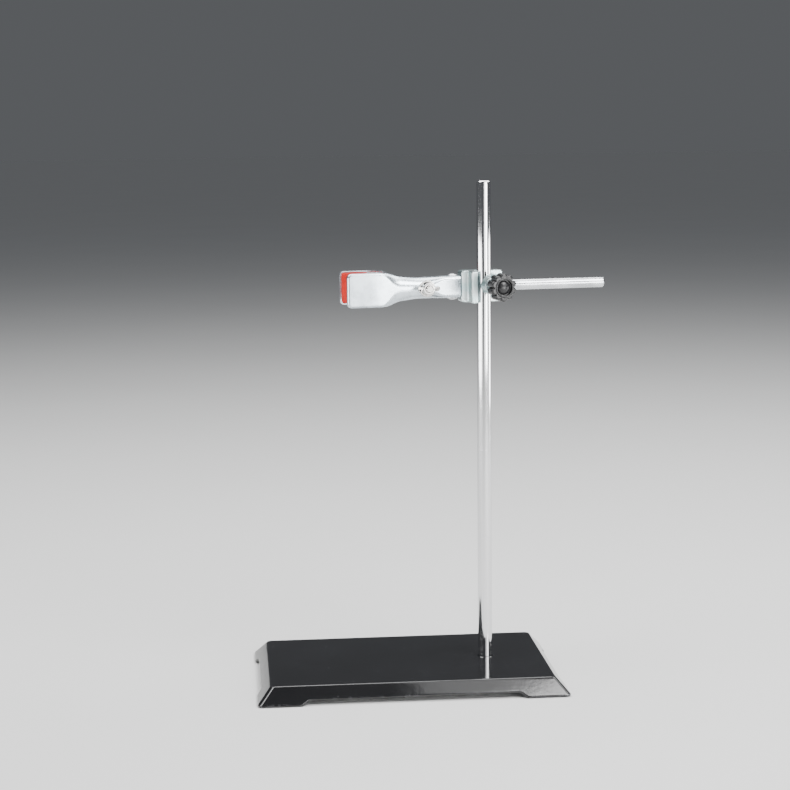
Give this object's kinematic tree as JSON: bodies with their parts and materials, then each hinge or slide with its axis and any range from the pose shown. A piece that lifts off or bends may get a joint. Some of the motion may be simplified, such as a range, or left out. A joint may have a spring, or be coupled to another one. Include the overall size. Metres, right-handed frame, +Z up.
{
  "type": "retort stand",
  "caption": "Laboratory retort stand: sheet-steel base, upright rod, sliding boss head and a padded clamp closed by a wing nut.",
  "frame": {"origin": "middle of the base on the bench", "axes": "+Z up along the rod, +X along the base towards the rod's end, -Y towards the user"},
  "size_m": [0.253, 0.127, 0.35],
  "materials": {
    "base_enamel": "gloss black enamel",
    "rod_chrome": "bright plate",
    "arm_plate": "satin zinc plate",
    "cast_zinc": "plated casting",
    "jaw_plate": "satin bluish zinc plate",
    "zinc_plate": "zinc plate",
    "nut_nickel": "bright nickel",
    "spring_steel": "drawn wire",
    "knob_plastic": "moulded black",
    "pad_rubber": "matt red rubber"
  },
  "bodies": {
    "base": {"base_shell": "base_enamel", "weld_nut": "zinc_plate"},
    "rod": {"support_rod": "rod_chrome", "rod_lock_nut": "zinc_plate"},
    "boss_head": {"boss_body": "cast_zinc"},
    "rod_screw": {"rod_screw": "zinc_plate"},
    "rod_knob": {"rod_knob": "knob_plastic"},
    "arm_screw": {"arm_screw": "zinc_plate"},
    "arm_knob": {"arm_knob": "knob_plastic"},
    "arm": {"clamp_arm": "arm_plate"},
    "rear_jaw": {"arm_ferrule": "zinc_plate", "rear_jaw": "jaw_plate", "rear_pad": "pad_rubber", "upper_rivet": "zinc_plate", "lower_rivet": "zinc_plate", "clamp_bolt": "nut_nickel", "jaw_spring": "spring_steel"},
    "front_jaw": {"front_jaw": "jaw_plate", "front_pad": "pad_rubber"},
    "washer": {"wing_washer": "nut_nickel"},
    "wing_nut": {"wing_nut": "nut_nickel"}
  },
  "joints": [
    {"name": "rod_turn", "type": "hinge", "parent": "base", "child": "rod", "pos_m": [0.057, 0, 0.012], "axis": [0, 0, 1], "continuous": true},
    {"name": "boss_slide", "type": "slide", "parent": "rod", "child": "boss_head", "axis": [0, 0, 1], "range_m": [-0.235, 0.06]},
    {"name": "rod_screw_feed", "type": "slide", "parent": "boss_head", "child": "rod_screw", "axis": [0.3173, -0.9483, 0], "range_m": [0, 0.0051]},
    {"name": "rod_knob_turn", "type": "hinge", "parent": "rod_screw", "child": "rod_knob", "pos_m": [0.06366, -0.01991, 0.278], "axis": [0.3173, -0.9483, 0], "range_deg": [0, 1800]},
    {"name": "arm_screw_feed", "type": "slide", "parent": "boss_head", "child": "arm_screw", "axis": [-0.1132, 0.9936, 0], "range_m": [0, 0.0051]},
    {"name": "arm_knob_turn", "type": "hinge", "parent": "arm_screw", "child": "arm_knob", "pos_m": [0.06002, 0.02651, 0.2757], "axis": [-0.1132, 0.9936, 0], "range_deg": [0, 1800]},
    {"name": "arm_slide", "type": "slide", "parent": "boss_head", "child": "arm", "axis": [0.9936, 0.1132, 0], "range_m": [-0.06, 0]},
    {"name": "clamp_roll", "type": "hinge", "parent": "arm", "child": "rear_jaw", "pos_m": [0.02794, 0.00776, 0.2765], "axis": [0.9936, 0.1132, 0], "continuous": true},
    {"name": "front_jaw_swing", "type": "hinge", "parent": "rear_jaw", "child": "front_jaw", "pos_m": [0.03618, 0.0087, 0.2765], "axis": [0, 0, -1], "range_deg": [0, 17.1], "deforming": ["jaw_spring"]},
    {"name": "nut_feed", "type": "slide", "parent": "rear_jaw", "child": "washer", "axis": [-0.1132, 0.9936, 0], "range_m": [0, 0.0065]},
    {"name": "wing_nut_turn", "type": "hinge", "parent": "washer", "child": "wing_nut", "pos_m": [0.01694, -0.00617, 0.2765], "axis": [-0.1132, 0.9936, 0], "range_deg": [0, 2880]}
  ],
  "couplings": [
    {"joint": "rod_screw_feed", "follows": "rod_knob_turn", "m_per_rad": 0.00015915},
    {"joint": "arm_screw_feed", "follows": "arm_knob_turn", "m_per_rad": 0.00015915},
    {"joint": "nut_feed", "follows": "wing_nut_turn", "m_per_rad": 0.00012732},
    {"joint": "front_jaw_swing", "follows": "wing_nut_turn", "ratio": 0.0059028}
  ]
}
